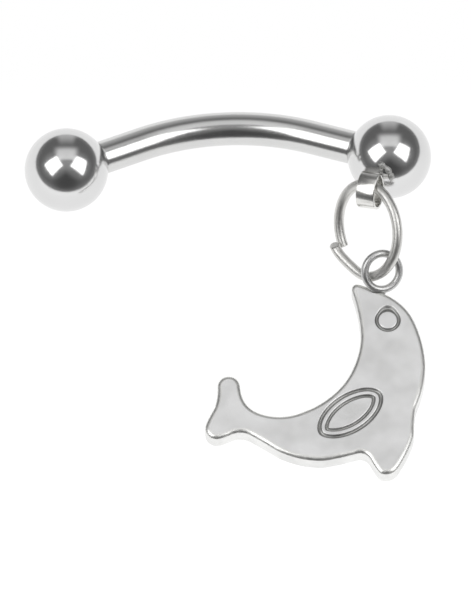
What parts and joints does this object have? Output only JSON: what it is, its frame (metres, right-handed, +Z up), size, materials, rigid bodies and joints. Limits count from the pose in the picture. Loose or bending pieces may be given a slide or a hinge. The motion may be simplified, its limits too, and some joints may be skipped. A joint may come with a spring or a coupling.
{
  "type": "curved eyebrow barbell with dolphin charm",
  "caption": "Bent steel barbell with a ball on each end; a strap bail on one ball carries a jump ring and a flat dolphin charm.",
  "frame": {"origin": "on the surface the piece lies on, under the middle of its bounding box", "axes": "+X from the plain ball to the ball that carries the charm, +Y from the dolphin to the bend of the bar, +Z up from the surface"},
  "size_m": [0.0146, 0.0146, 0.003],
  "materials": {
    "bar_steel": "mirror-polished surgical steel",
    "ball_steel": "mirror-polished surgical steel",
    "ring_wire": "polished wire with a slight warm tint",
    "charm_metal": "polished cast metal, softened edges"
  },
  "bodies": {
    "barbell": {"bar": "bar_steel", "charm_ball": "ball_steel", "jump_ring": "ring_wire", "dolphin_charm": "charm_metal"},
    "screw_ball": {"plain_ball": "ball_steel"}
  },
  "joints": [
    {"name": "ball_unscrew", "type": "slide", "parent": "barbell", "child": "screw_ball", "axis": [-0.8988, -0.3934, 0.1933], "range_m": [0, 0.003]}
  ]
}
